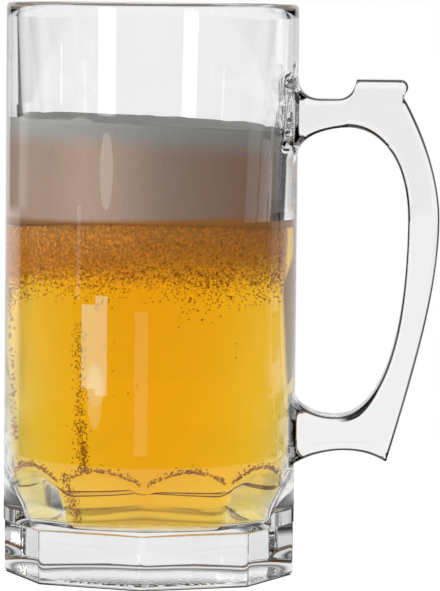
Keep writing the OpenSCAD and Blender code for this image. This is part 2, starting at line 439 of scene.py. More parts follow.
def glass_rows(glass, handle, angle, wet_top):
    """Rows of the vessel from the underside, up the wall, over the lip and down to the cavity's floor."""
    rows = foot_rows(glass, angle)
    lower = (handle.lower_bottom - ROOT_MARGIN, handle.lower_top + ROOT_MARGIN)
    upper = (handle.upper_bottom - ROOT_MARGIN, handle.upper_top + ROOT_MARGIN)
    lip = glass.lip_wall / 2
    shoulder = (glass.foot_panel - glass.softness, glass.foot_panel + glass.foot_shoulder + glass.softness)
    wall = levels(
        (glass.foot_edge * 1.4, shoulder[0], 7), (shoulder[0], shoulder[1], 20), (shoulder[1], lower[0], 6),
        (lower[0], lower[1], ROOT_ROWS), (lower[1], upper[0], 32), (upper[0], upper[1], ROOT_ROWS),
        (upper[1], glass.height - lip, 8),
    )
    holes = [len(rows) + wall.index(z) for z in (upper[0], lower[0])]
    rows += [ring(outer_radius(glass, angle, z), angle, z) for z in wall]
    for i in range(1, 16):
        a = math.pi * i / 16
        r = glass.radius - lip + lip * math.cos(a)
        rows.append(ring(np.full_like(angle, r), angle, glass.height - lip + lip * math.sin(a)))
    arches, chamfer = inner_marks(glass)
    neck = glass.height - glass.mouth_depth
    inside = levels((glass.height - lip, neck, 10), (neck, wet_top, 16), (wet_top, arches, 40),
                    (arches, chamfer, 30), (chamfer, glass.floor + 0.0002, 16))
    rows += [ring(cavity_radius(glass, angle, z), angle, z) for z in inside]
    low = cavity_radius(glass, angle, glass.floor)
    for share in (0.985, 0.95, 0.88, 0.75, 0.55, 0.35, 0.15):
        rows.append(ring(low * share, angle, glass.floor))
    return rows, holes


def handle_paths(handle):
    """The handle's outer path, its sections' elbows and the finger gap's path, from upper to lower root."""
    h = handle
    gap = h.reach - h.grip
    fillet = h.upper_top - h.saddle
    rise = h.thumb - h.saddle
    centre = np.array([h.thumb_end - h.thumb_edge, h.thumb - h.thumb_edge])
    turned = np.radians(np.linspace(90, -80, 15))
    thumb_arc = centre + h.thumb_edge * np.stack([np.cos(turned), np.sin(turned)], axis=1)
    start = thumb_arc[-1]
    heel = np.array([h.heel_reach, h.heel])
    tip = heel + h.thumb_edge / 2
    arch = h.arch + (h.arch - (h.heel + h.lower_bottom) / 2) / 3
    saddle_end = np.array([h.thumb_start - rise, h.saddle])
    top = np.array([gap * 0.45, h.gap_top])
    bottom = np.array([gap * 0.36, h.gap_bottom])
    back = np.array([gap, h.grip_z])
    arm = join_paths(
        curve_points([(0, h.upper_top), (0, h.upper_top - fillet * 0.7), (fillet * 0.4, h.saddle),
                      (fillet, h.saddle)], 18),
        np.linspace((fillet, h.saddle), saddle_end, 5),
        curve_points([saddle_end, saddle_end + (rise * 0.6, 0), (h.thumb_start - rise * 0.15,
                      h.thumb - rise * 0.6), (h.thumb_start, h.thumb)], 10),
    )
    thumb_top = np.linspace((h.thumb_start, h.thumb), thumb_arc[0], 13)
    grip_up = curve_points([start, start + ((h.reach - start[0]) * 0.5, (h.grip_z - start[1]) * 0.25),
                            (h.reach, h.grip_z + (start[1] - h.grip_z) * 0.36), (h.reach, h.grip_z)], 30)
    grip_low = curve_points([(h.reach, h.grip_z), (h.reach, h.grip_z - (h.grip_z - h.heel) * 0.29),
                             heel + ((h.reach - h.heel_reach) * 0.5, (h.grip_z - h.heel) * 0.33), tip], 50)
    heel_turn = curve_points([tip, tip + (-0.0003, -0.0010), heel + (0.0009, -0.0003), heel], 8)
    under = curve_points([heel, (h.heel_reach * 0.72, arch), (h.heel_reach * 0.34, arch),
                          (0, h.lower_bottom)], 30)
    gap_up = curve_points([(0, h.upper_bottom), (0, h.upper_bottom + (h.gap_top - h.upper_bottom) * 0.6),
                           (top[0] * 0.5, h.gap_top), top], 40)
    gap_right = join_paths(
        curve_points([top, top + ((gap - top[0]) * 0.58, 0),
                      (gap, h.grip_z + (h.gap_top - h.grip_z) * 0.62), back], 40),
        curve_points([back, (gap, h.grip_z - (h.grip_z - h.gap_bottom) * 0.51),
                      bottom + ((gap - bottom[0]) * 0.72, 0), bottom], 60),
    )
    gap_low = curve_points([bottom, (bottom[0] * 0.55, h.gap_bottom),
                            (bottom[0] * 0.2, h.gap_bottom + (h.lower_top - h.gap_bottom) * 0.35),
                            (0, h.lower_top)], 40)
    outer = join_paths(arm, thumb_top, thumb_arc, grip_up, grip_low, heel_turn, under)
    nose = len(arm) + len(thumb_top) - 1
    turn_share = 0.87
    marks = np.array([0, 0.11, 0.14, 0.345, turn_share - 0.02, turn_share])
    shares = np.concatenate([np.linspace(marks[i], marks[i + 1], n + 1)[1:]
                             for i, n in enumerate((12, 14, 30, 50, 8))])
    across = along(gap_right, shares)
    tail = join_paths(along(gap_right, np.linspace(turn_share, 1, 40)), gap_low)
    arm_in = np.stack([arm[:, 0] * top[0] / arm[-1, 0],
                       np.interp(arm[:, 0] * top[0] / arm[-1, 0], gap_up[:, 0], gap_up[:, 1])], axis=1)
    at = under[1:, 0] * tail[0, 0] / under[0, 0]
    low_in = np.stack([at, np.interp(at, tail[::-1, 0], tail[::-1, 1])], axis=1)
    arm_in[:1] = (0, h.upper_bottom)
    low_in[-1:] = (0, h.lower_top)
    inner = np.concatenate([arm_in, across, low_in])
    elbow = outer + (inner - outer) * 0.25
    first, last = nose - 1, nose + len(thumb_arc) - 1

    def set_in(k, depth):
        """A point on section k, in from the outer path."""
        return outer[k] + depth * (inner[k] - outer[k]) / np.linalg.norm(inner[k] - outer[k])

    share = np.linspace(0, 1, len(thumb_arc) + 1)[1:-1, None]
    thumb_in = set_in(first, 1.25 * h.thumb_edge)
    grip_in = set_in(last, 0.9 * h.thumb_edge)
    elbow[nose:last] = thumb_in * (1 - share) + grip_in * share
    return outer, elbow, inner


def edge_steps(count, corner, share):
    """Places from 0 to 1 along a side, closer together within share of each end."""
    middle = (share, 1 - share, count - 2 * corner)
    return np.array(levels((0, share, corner), middle, (1 - share, 1, corner)))


def handle_ring(handle, radius, near, elbow, far):
    """One rounded section of the handle, from the finger gap's path over an elbow to the outer path."""
    path = np.array([near, elbow, far])
    run = path_run(path)
    depth = float(run[-1])
    half = handle.width / 2
    rounding = min(handle.edge, depth * 0.45, 0.8 * depth - 0.8 * float(run[1]))
    across = edge_steps(2 * ROOT_COLUMNS, 7, rounding / handle.width)
    down = edge_steps(ROOT_ROWS, 7, rounding / depth)
    sides = [np.stack([across * 2 * half - half, np.zeros_like(across)], axis=1)[:-1],
             np.stack([np.full_like(down, half), down * depth], axis=1)[:-1],
             np.stack([half - across * 2 * half, np.full_like(across, depth)], axis=1)[:-1],
             np.stack([np.full_like(down, -half), depth - down * depth], axis=1)[:-1]]
    flat = np.concatenate(sides)
    core = np.stack([np.clip(flat[:, 0], rounding - half, half - rounding),
                     np.clip(flat[:, 1], rounding, depth - rounding)], axis=1)
    out = flat - core
    out = core + rounding * out / np.maximum(np.linalg.norm(out, axis=1, keepdims=True), 1e-9)
    away = np.interp(out[:, 1], run, path[:, 0])
    height = np.interp(out[:, 1], run, path[:, 1])
    end = np.clip((np.abs(2 * out[:, 1] / depth - 1) - 0.5) / 0.4, 0, 1)
    fillet = handle.fillet * (1 + 1.7 * end)
    flare = np.clip(1 - away / fillet, 0, 1)
    side = out[:, 0] * (1 + fillet / half * (1 - np.sqrt(1 - flare**2)))
    blend = np.clip(1 - away / 0.012, 0, 1)
    blend = blend * blend * (3 - 2 * blend)
    wrap = np.sqrt(radius**2 - side**2) - radius
    return np.stack([radius + away + wrap * blend, side, height], axis=1)


def glass_mesh(glass, handle, wet_top):
    """The vessel and its handle as one closed surface, joined around both roots."""
    angle = column_angles()
    columns = len(angle)
    rows, holes = glass_rows(glass, handle, angle, wet_top)
    around = [(j + columns - ROOT_COLUMNS) % columns for j in range(2 * ROOT_COLUMNS + 1)]
    skip = {(start + i, j) for start in holes for i in range(ROOT_ROWS) for j in around[:-1]}
    verts = np.concatenate(rows)
    faces = lathe_faces(len(rows), columns, skip)
    centre = len(verts)
    verts = np.concatenate([verts, [(0, 0, glass.punt_depth), (0, 0, glass.floor)]])
    faces += cap_faces(0, columns, centre, False)
    faces += cap_faces(centre - columns, columns, centre + 1, True)

    def loop(start, rising):
        """Points around a root's hole, from the gap's side and against the way the wall's faces turn."""
        first, last = (start, start + ROOT_ROWS) if rising else (start + ROOT_ROWS, start)
        side = list(range(first, last, 1 if rising else -1))
        return ([first * columns + j for j in around[:-1]] + [i * columns + around[-1] for i in side]
                + [last * columns + j for j in around[:0:-1]]
                + [(first + last - i) * columns + around[0] for i in side])

    outer, elbows, inner = handle_paths(handle)
    sections = [handle_ring(handle, glass.radius, *stops) for stops in zip(inner, elbows, outer)]
    base = len(verts)
    verts = np.concatenate([verts] + sections)
    count = len(sections[0])
    chain = [loop(holes[0], True)]
    chain += [list(range(base + i * count, base + (i + 1) * count)) for i in range(len(sections))]
    chain.append(loop(holes[1], False))
    for here, there in zip(chain, chain[1:]):
        for k in range(count):
            n = (k + 1) % count
            faces.append((here[k], here[n], there[n], there[k]))
    piece = new_mesh("mug_glass", verts, faces)
    shell = bmesh.new()
    shell.from_mesh(piece.data)
    loose = [v for v in shell.verts if not v.link_faces]
    bmesh.ops.delete(shell, geom=loose, context="VERTS")
    shell.to_mesh(piece.data)
    shell.free()
    return piece


def beer_mesh(glass, drink):
    """The drink up to the foam, with its skin a little inside the glass."""
    angle = column_angles()
    low = glass.floor - drink.overlap
    arches, chamfer = inner_marks(glass)
    heights = levels((glass.floor, chamfer, 12), (chamfer, arches, 28), (arches, drink.beer_top, 34))
    edge = cavity_radius(glass, angle, glass.floor)
    top = cavity_radius(glass, angle, drink.beer_top) + drink.overlap
    rows = [ring(edge * share, angle, low) for share in (0.2, 0.5, 0.8, 0.95, 0.99)]
    rows += [ring(cavity_radius(glass, angle, z) + drink.overlap, angle, z) for z in heights]
    rows += [ring(top * share, angle, drink.beer_top) for share in (0.99, 0.9, 0.7, 0.4, 0.2)]
    return lathe("beer_fill", rows, (0, 0, low), (0, 0, drink.beer_top))


def foam_edge(drink, angle, draw):
    """Height of the foam's upper edge around the wall: leaning, with one crest and small waves."""
    edge = drink.foam_top - drink.tilt - drink.tilt * np.cos(angle) - drink.slant * np.sin(angle)
    edge = edge + CREST_HEIGHT * np.exp(-(turn_from(angle, CREST_TURN) / CREST_WIDTH) ** 2)
    for _ in range(EDGE_WAVES):
        at = draw.uniform(0, 2 * math.pi)
        wide = draw.uniform(0.02, 0.10)
        tall = draw.uniform(-0.0004, 0.0004)
        edge = edge + tall * np.exp(-(turn_from(angle, at) / wide) ** 2)
    return edge


def foam_mesh(glass, drink):
    """The head: wall to wall, loose from the glass on the handle's side, with a dipped and bubbly top."""
    angle = column_angles()
    draw = random.Random(drink.seed)
    low = drink.beer_top - FOAM_REACH
    low_edge = low - drink.droop * np.cos(angle) ** 2
    level = drink.foam_top - drink.tilt
    edge = foam_edge(drink, angle, draw)
    dry = np.clip((DRY_TURN - np.abs(turn_from(angle, 0))) / DRY_FADE, 0, 1)
    gap = drink.foam_gap * (1.4 * dry - 0.4)
    rows = [ring(cavity_radius(glass, angle, low) * share, angle, low) for share in (0.2, 0.5, 0.8, 0.96)]
    for i in range(31):
        z = low_edge + (edge - low_edge) * i / 30
        rows.append(ring(cavity_radius(glass, angle, z) - gap, angle, z))
    bumps = [(draw.uniform(0, 2 * math.pi), math.sqrt(draw.random()), draw.uniform(0.001, 0.0035))
             for _ in range(TOP_BUBBLES)]
    wall = cavity_radius(glass, angle, level) - gap
    for share in (0.99, 0.975, 0.955, 0.93, 0.9, 0.86, 0.81, 0.75, 0.68, 0.6, 0.5, 0.4, 0.3, 0.2, 0.1):
        drop = drink.dip * (1 - ((share - 0.75) / 0.25) ** 2 if share > 0.75 else 1)
        z = edge * share + level * (1 - share) - drop
        x, y = wall * share * np.cos(angle), wall * share * np.sin(angle)
        for at, out, size in bumps:
            near = np.hypot(x - out * TOP_SPREAD * math.cos(at), y - out * TOP_SPREAD * math.sin(at)) / size
            z = z + TOP_RELIEF * size * np.clip(1 - near**2, 0, 1)
        rows.append(ring(wall * share, angle, z))
    return lathe("foam_head", rows, (0, 0, low), (0, 0, level - drink.dip))


def fringe_mesh(glass, low, high):
    """A thin closed sleeve of soaked froth along the wall."""
    angle = column_angles()
    columns = len(angle)
    heights = [low + (high - low) * i / FRINGE_STEPS for i in range(FRINGE_STEPS + 1)]
    outside, inside = FRINGE_INSETS
    rows = [ring(cavity_radius(glass, angle, z) - outside, angle, z) for z in heights]
    rows += [ring(cavity_radius(glass, angle, z) - inside, angle, z) for z in reversed(heights)]
    faces = lathe_faces(len(rows), columns)
    last = (len(rows) - 1) * columns
    for j in range(columns):
        k = (j + 1) % columns
        faces.append((last + j, last + k, k, j))
    return new_mesh("soaked_froth", np.concatenate(rows), faces)


def on_wall(glass, turn, z, inset):
    """A place on the cavity's wall, set in by a little."""
    r = float(cavity_radius(glass, np.array([turn]), z)[0]) - inset
    return (r * math.cos(turn), r * math.sin(turn), z)


def fringe_spots(glass, drink, draw):
    """Places and radii of the bubbles under the head, in a wavy band that ends on the handle's side."""
    spots = []
    for _ in range(drink.bubble_count):
        turn = draw.uniform(0, 2 * math.pi)
        wave = 0.0022 * math.sin(3 * turn + 1) + 0.0016 * math.sin(7 * turn)
        z = drink.beer_top - BAND_MIDDLE + draw.gauss(0, BAND_SPREAD) + wave
        z = min(z, drink.beer_top - BAND_LIMIT)
        size = draw.uniform(0.00015, 0.00036) * (1.7 if draw.random() < 0.05 else 1)
        spot = on_wall(glass, turn, z, BAND_INSET)
        if spot[0] + spot[1] < draw.uniform(FRINGE_FULL, FRINGE_END):
            spots.append((spot, size))
    return spots


def string_spots(glass, draw):
    """Places and radii of the bubbles in upright strings, larger at the left edge."""
    spots = []
    for turn, spread, low, high, count in BUBBLE_STRINGS:
        for _ in range(count):
            z = draw.uniform(low, high)
            size = draw.uniform(0.00012, 0.00036) * (1.8 if turn < -3 else 1)
            spots.append((on_wall(glass, turn + draw.gauss(0, spread), z, STRING_INSET), size))
    return spots


def arch_spots(glass, draw):
    """Places and radii of the bubbles along the near inner panels' arches."""
    slope = glass.inner_flat_depth / glass.inner_shoulder
    wall = glass.radius - glass.low_wall
    panel_top = glass.floor + glass.inner_panel
    spots = []
    for panel in range(PANELS // 2, PANELS):
        for _ in range(ARCH_BUBBLES):
            off = draw.uniform(-ARCH_TURN, ARCH_TURN)
            z = panel_top + (wall * math.cos(off) - wall + glass.inner_flat_depth) / slope
            z = max(z, panel_top) + abs(draw.gauss(0, ARCH_SPREAD))
            size = draw.uniform(0.00016, 0.00040)
            spots.append((on_wall(glass, (panel + 0.5) * PANEL_TURN + off, z, size), size))
    return spots


def bubble_cloud(name, spots):
    """One mesh of round bubbles at (place, radius) spots."""
    ball = bmesh.new()
    bmesh.ops.create_icosphere(ball, subdivisions=1, radius=1)
    points = np.array([v.co[:] for v in ball.verts])
    shells = [tuple(v.index for v in f.verts) for f in ball.faces]
    ball.free()
    verts = np.concatenate([np.array(place) + radius * points for place, radius in spots])
    faces = [tuple(i + k * len(points) for i in f) for k in range(len(spots)) for f in shells]
    return new_mesh(name, verts, faces)


# Shader nodes


def plug(tree, socket, value):
    """Links an output to an input, or sets the input to a plain value."""
    if isinstance(value, bpy.types.NodeSocket):
        tree.links.new(value, socket)
    else:
        socket.default_value = value


def node(tree, kind, **values):
    """A shader node with its settings, and its inputs by name."""
    made = tree.nodes.new(kind)
    for key, value in values.items():
        if key in made.bl_rna.properties:
            setattr(made, key, value)
        else:
            plug(tree, made.inputs[key.replace("_", " ")], value)
    return made


def maths(tree, operation, *values, clamp=False):
    """The result of a math node on numbers or sockets."""
    made = node(tree, "ShaderNodeMath", operation=operation, use_clamp=clamp)
    for socket, value in zip(made.inputs, values):
        plug(tree, socket, value)
    return made.outputs["Value"]


def vector_maths(tree, operation, *values):
    """The result of a vector math node: a number for a length or a dot product, a vector otherwise."""
    made = node(tree, "ShaderNodeVectorMath", operation=operation)
    for socket, value in zip(made.inputs, values):
        plug(tree, socket, value)
    return made.outputs["Value" if operation in ("LENGTH", "DOT_PRODUCT") else "Vector"]


def coordinates(tree, kind="Object"):
    """Texture coordinates of one kind."""
    return node(tree, "ShaderNodeTexCoord").outputs[kind]


def axes(tree, vector):
    """The X, Y and Z of a vector."""
    return node(tree, "ShaderNodeSeparateXYZ", Vector=vector).outputs


def ramp(tree, value, low, high, start=0, end=1, kind="SMOOTHSTEP"):
    """A value that runs from start to end while the input runs from low to high."""
    made = node(tree, "ShaderNodeMapRange", clamp=True, interpolation_type=kind, Value=value,
                From_Min=low, From_Max=high, To_Min=start, To_Max=end)
    return made.outputs["Result"]


def axis_ramp(tree, axis, low, high):
    """0 at a low place along an axis, 1 at a high one."""
    return ramp(tree, vector_maths(tree, "DOT_PRODUCT", coordinates(tree), axis), low, high, kind="LINEAR")


def grey_ramp(tree, value, stops, full):
    """Grey by a value from 0 to 1, from stops out of a full range."""
    made = node(tree, "ShaderNodeValToRGB", Fac=value)
    marks = made.color_ramp.elements
    while len(marks) < len(stops):
        marks.new(1.0)
    for mark, (at, bright) in zip(marks, stops):
        mark.position = at / full
        mark.color = (bright, bright, bright, 1)
    return made.outputs["Color"]


def mix_colours(tree, factor, low, high, blend="MIX"):
    """A colour between two, by a factor."""
    mix = node(tree, "ShaderNodeMix", data_type="RGBA", blend_type=blend, Factor=factor)
    for socket, value in ((mix.inputs[6], low), (mix.inputs[7], high)):
        plug(tree, socket, value if isinstance(value, bpy.types.NodeSocket) else (*value, 1))
    return mix.outputs[2]


def mix_shaders(tree, factor, first, second):
    """A shader between two, by a factor."""
    mix = node(tree, "ShaderNodeMixShader", Fac=factor)
    plug(tree, mix.inputs[1], first)
    plug(tree, mix.inputs[2], second)
    return mix.outputs["Shader"]


def rays(tree, *kinds):
    """1 for rays of any of these kinds, 0 for the rest."""
    path = node(tree, "ShaderNodeLightPath").outputs
    found = path[f"Is {kinds[0]} Ray"]
    for kind in kinds[1:]:
        found = maths(tree, "MAXIMUM", found, path[f"Is {kind} Ray"])
    return found


def new_material(name):
    """An empty node material, its tree and its output's inputs."""
    made = bpy.data.materials.new(name)
    made.use_nodes = True
    made.node_tree.nodes.clear()
    return made, made.node_tree, made.node_tree.nodes.new("ShaderNodeOutputMaterial").inputs


def new_group(name, inputs, outputs):
    """A shader node group of values, what it is given and what it gives."""
    group = bpy.data.node_groups.new(name, "ShaderNodeTree")
    for socket, value in inputs.items():
        made = group.interface.new_socket(socket, in_out="INPUT", socket_type="NodeSocketFloat")
        made.default_value = value
    for socket in outputs:
        group.interface.new_socket(socket, in_out="OUTPUT", socket_type="NodeSocketFloat")
    return group, group.nodes.new("NodeGroupInput").outputs, group.nodes.new("NodeGroupOutput").inputs


def place_group(tree, group, **values):
    """The outputs of a node that holds a group, with its inputs set."""
    made = tree.nodes.new("ShaderNodeGroup")
    made.node_tree = group
    for key, value in values.items():
        made.inputs[key].default_value = value
    return made.outputs


def ripple_group():
    """Slow ripple of a pressed or wetted surface, with faint haze for its roughness."""
    if "surface_ripple" in bpy.data.node_groups:
        return bpy.data.node_groups["surface_ripple"]
    group, given, made = new_group("surface_ripple", {"Scale": 60.0, "Haze": 0.01}, ("Height", "Roughness"))
    place = coordinates(group)
    stretched = node(group, "ShaderNodeMapping", Vector=place, Scale=(1, 1, 0.35)).outputs["Vector"]
    slow = node(group, "ShaderNodeTexNoise", Vector=stretched, Scale=given["Scale"], Detail=1.5,
                Roughness=0.4)
    smear = node(group, "ShaderNodeTexNoise", Vector=place, Scale=35.0, Detail=3.0)
    plug(group, made["Height"], slow.outputs["Fac"])
    plug(group, made["Roughness"], maths(group, "MULTIPLY", smear.outputs["Fac"], given["Haze"]))
    return group


def stipple_group():
    """Stipple under a pressed foot, within a radius and under a height: dots and a rough mask."""
    sizes = {"Height": 0.0027, "Radius": 0.0448}
    group, given, made = new_group("foot_stipple", sizes, ("Height", "Roughness"))
    place = coordinates(group)
    away = vector_maths(group, "LENGTH", vector_maths(group, "MULTIPLY", place, (1, 1, 0)))
    inside = maths(group, "LESS_THAN", away, given["Radius"])
    under = maths(group, "LESS_THAN", axes(group, place)["Z"], given["Height"])
    both = maths(group, "MULTIPLY", inside, under)
    dots = node(group, "ShaderNodeTexVoronoi", Vector=place, Scale=620.0)
    plug(group, made["Height"], maths(group, "MULTIPLY", both, dots.outputs["Distance"]))
    plug(group, made["Roughness"], maths(group, "MULTIPLY", both, 0.05))
    return group


def froth_group():
    """Cells of froth: a mask of bubbles, a bump height and a slow mottle."""
    if "froth_cells" in bpy.data.node_groups:
        return bpy.data.node_groups["froth_cells"]
    sizes = {"Scale": 900.0, "Mottle": 60.0}
    group, given, made = new_group("froth_cells", sizes, ("Cells", "Height", "Mottle"))
    place = coordinates(group)
    cells = node(group, "ShaderNodeTexVoronoi", feature="F1", Vector=place, Scale=given["Scale"])
    fine = node(group, "ShaderNodeTexNoise", Vector=place, Scale=given["Scale"], Detail=4.0)
    slow = node(group, "ShaderNodeTexNoise", Vector=place, Scale=given["Mottle"], Detail=3.0)
    plug(group, made["Cells"], cells.outputs["Distance"])
    plug(group, made["Height"], maths(group, "ADD", cells.outputs["Distance"], fine.outputs["Fac"]))
    plug(group, made["Mottle"], slow.outputs["Fac"])
    return group


# Materials


def painted_edge_shade(tree, start):
    """White glass painted dark where it is seen edge-on, sooner along the handle's rounded corners: painted
    shade by view angle.
    """
    facing = node(tree, "ShaderNodeLayerWeight", Blend=0.5).outputs["Facing"]
    across = maths(tree, "ABSOLUTE", axes(tree, coordinates(tree, "Normal"))["Y"])
    corner = maths(tree, "MULTIPLY", ramp(tree, across, *CORNER_RISE), ramp(tree, across, *CORNER_FALL, 1, 0))
    handle = maths(tree, "MULTIPLY", corner, axis_ramp(tree, (1, 0, 0), start, start + 0.002))
    steep = ramp(tree, maths(tree, "MULTIPLY_ADD", handle, CORNER_GAIN, facing), EDGE_START, 1.0)
    return mix_colours(tree, steep, WHITE, (0.002, 0.002, 0.002))


def clear_shader(tree, ior, clear, ripple, bump, shine, stipple=None):
    """Clear surface with ripple and haze, which lets plain light straight through to what it holds."""
    surface = node(tree, "ShaderNodeBsdfPrincipled", IOR=ior, Base_Color=(*WHITE, 1), Transmission_Weight=1,
                   Specular_Tint=(shine, shine, shine, 1), Roughness=ripple["Roughness"])
    height = node(tree, "ShaderNodeBump", Strength=bump, Distance=0.0004, Height=ripple["Height"])
    plug(tree, surface.inputs["Normal"], height.outputs["Normal"])
    if stipple:
        rough = maths(tree, "MAXIMUM", ripple["Roughness"], stipple["Roughness"])
        plug(tree, surface.inputs["Roughness"], rough)
        dots = node(tree, "ShaderNodeBump", Strength=0.12, Distance=0.0004, Height=stipple["Height"])
        plug(tree, height.inputs["Normal"], dots.outputs["Normal"])
    through = node(tree, "ShaderNodeBsdfTransparent", Color=(*clear, 1))
    plain = rays(tree, "Shadow", "Diffuse")
    return surface, mix_shaders(tree, plain, surface.outputs["BSDF"], through.outputs["BSDF"])


def depth_colour(tree, out, shade, density):
    """Colour that light takes on in the depth of a clear piece."""
    depth = node(tree, "ShaderNodeVolumeAbsorption", Density=density, Color=(*shade, 1))
    plug(tree, out["Volume"], depth.outputs["Volume"])


def glass_material(glass):
    """Clear pressed glass: faint ripple and haze, a stippled underside and a slight tint in its depth."""
    made, tree, out = new_material("clear_pressed_glass")
    ripple = place_group(tree, ripple_group(), Scale=55.0, Haze=0.012)
    under = place_group(tree, stipple_group(), Height=1.08 * glass.punt_depth, Radius=foot_flat(glass))
    surface, shader = clear_shader(tree, GLASS_IOR, (0.95, 0.96, 0.96), ripple, 0.10, 1.0, under)
    # Painted shade: the glass's white colour turns dark at its edges by view angle
    plug(tree, surface.inputs["Base Color"], painted_edge_shade(tree, glass.radius + 0.0005))
    plug(tree, out["Surface"], shader)
    depth_colour(tree, out, glass.tint, 5.0)
    return made


def wet_glass_material():
    """The glass where beer wets it, with hardly any reflection between the two."""
    made, tree, out = new_material("wetted_glass")
    ripple = place_group(tree, ripple_group(), Scale=55.0, Haze=0.004)
    _, shader = clear_shader(tree, GLASS_IOR, (0.95, 0.96, 0.96), ripple, 0.10, 0.0)
    plug(tree, out["Surface"], shader)
    return made


def beer_material(drink):
    """Gold beer: clear, and deeper in colour the further the light goes through it."""
    made, tree, out = new_material("gold_beer")
    ripple = place_group(tree, ripple_group(), Scale=40.0, Haze=0.004)
    _, shader = clear_shader(tree, BEER_IOR, WHITE, ripple, 0.05, 0.0)
    plug(tree, out["Surface"], shader)
    depth_colour(tree, out, drink.beer_colour, 75.0)
    return made


def froth_surface(tree, out, froth, shade, roughness, bump):
    """Principled surface of froth with its cells as a bump."""
    height = node(tree, "ShaderNodeBump", Strength=bump, Distance=0.0003, Height=froth["Height"])
    surface = node(tree, "ShaderNodeBsdfPrincipled", Roughness=roughness, IOR=FROTH_IOR, Base_Color=shade,
                   Normal=height.outputs["Normal"])
    plug(tree, out["Surface"], surface.outputs["BSDF"])
    return surface


def crust_colour(tree, drink):
    """Colour of the froth where the head meets the beer, deeper at the left."""
    return mix_colours(tree, axis_ramp(tree, (1, 0, 0), -0.034, -0.004), drink.crust, drink.crust_far)


def foam_material(drink):
    """Head of foam: fine cells, mottled, grey under its top and soaked at its foot, with painted light left
    of the middle and painted shade on the handle's side.
    """
    made, tree, out = new_material("foam_head")
    froth = place_group(tree, froth_group(), Scale=1100.0, Mottle=45.0)
    rise = axis_ramp(tree, (0, 0, 1), drink.beer_top, drink.foam_top)
    shade = mix_colours(tree, rise, drink.foam_deep, drink.foam_pale)
    shade = mix_colours(tree, froth["Mottle"], drink.foam_deep, shade)
    shade = mix_colours(tree, froth["Cells"], shade, drink.foam_pale)
    # Painted shade: the foam darkens towards the handle's side
    shade = mix_colours(tree, axis_ramp(tree, (1, 0, 0), 0.008, 0.032), shade, drink.foam_side_painted_shade)
    # Painted light: a lighter patch of foam left of the middle
    near = maths(tree, "MULTIPLY", axis_ramp(tree, (1, 0, 0), -0.030, -0.019),
                 axis_ramp(tree, (1, 0, 0), 0.006, -0.009))
    shade = mix_colours(tree, near, shade, drink.foam_painted_light)
    leaning = (drink.tilt / FOAM_RADIUS, drink.slant / FOAM_RADIUS, 1)
    top = drink.foam_top - drink.tilt
    shade = mix_colours(tree, axis_ramp(tree, leaning, top - 0.0095, top - 0.0030), shade, drink.foam_crown)
    soak = axis_ramp(tree, (0.025, 0, -1), -drink.beer_top - 0.0018, -drink.beer_top - 0.0002)
    shade = mix_colours(tree, soak, shade, crust_colour(tree, drink))
    shade = mix_colours(tree, axis_ramp(tree, leaning, top - 0.0016, top - 0.0008), shade, drink.foam_rim)
    froth_surface(tree, out, froth, shade, 0.75, 0.35)
    return made


def fringe_material(drink, low, high):
    """Beer-soaked froth under the head: amber, with darker cells of painted shade for bubble rims, thinning
    out towards its lower edge.
    """
    made, tree, out = new_material("soaked_froth")
    froth = place_group(tree, froth_group(), Scale=1000.0, Mottle=900.0)
    rise = axis_ramp(tree, (0, 0, 1), low, high)
    shade = mix_colours(tree, rise, drink.fringe, crust_colour(tree, drink))
    shade = mix_colours(tree, ramp(tree, froth["Mottle"], 0.44, 0.68, 0, 0.6), shade, drink.fringe)
    # Painted shade: dark bubble rims in the cells
    shade = mix_colours(tree, ramp(tree, froth["Cells"], 0.05, 0.27, kind="LINEAR"), drink.bubble, shade)
    surface = froth_surface(tree, out, froth, shade, 0.5, 0.4)
    lift = maths(tree, "MULTIPLY_ADD", rise, 1.6, -0.75)
    grain = maths(tree, "MULTIPLY_ADD", froth["Mottle"], 0.9, lift, clamp=True)
    beside = axis_ramp(tree, (1, 1, 0), FRINGE_END, FRINGE_FULL)
    plug(tree, surface.inputs["Alpha"], maths(tree, "MULTIPLY", grain, beside))
    return made


def bubble_material(drink):
    """Bubble in beer: a dark rim around a clearer middle, painted shade by view angle for the ring that
    refraction darkens.
    """
    made, tree, out = new_material("beer_bubble")
    froth = place_group(tree, froth_group(), Scale=300.0, Mottle=200.0)
    shade = mix_colours(tree, froth["Mottle"], drink.bubble, drink.fringe)
    # Painted shade: the rim grows darker and more opaque where the bubble is seen edge-on
    rim = node(tree, "ShaderNodeLayerWeight", Blend=0.6).outputs["Facing"]
    surface = node(tree, "ShaderNodeBsdfPrincipled", Roughness=0.12, IOR=FROTH_IOR, Base_Color=shade,
                   Alpha=maths(tree, "MULTIPLY_ADD", rim, 1.2, 0.2, clamp=True))
    plug(tree, out["Surface"], surface.outputs["BSDF"])
    return made


# Studio


def floor_glow_and_painted_shade(tree, place):
    """White floor glow, which the glass sees with painted shade: dark rings under the mug and dark strips at
    both sides of it.
    """
    away = vector_maths(tree, "LENGTH", place)
    beside = maths(tree, "ABSOLUTE", axes(tree, place)["X"])
    strips = maths(tree, "MULTIPLY", ramp(tree, beside, *STRIP_START, 0.0, -0.96),
                   ramp(tree, away, *STRIP_END, 1.0, 0.0))
    dark = maths(tree, "MULTIPLY_ADD", strips, 1.0, grey_ramp(tree, away, PAINTED_FLOOR_RINGS, 1), clamp=True)
    return maths(tree, "MAXIMUM", dark, rays(tree, "Camera"))


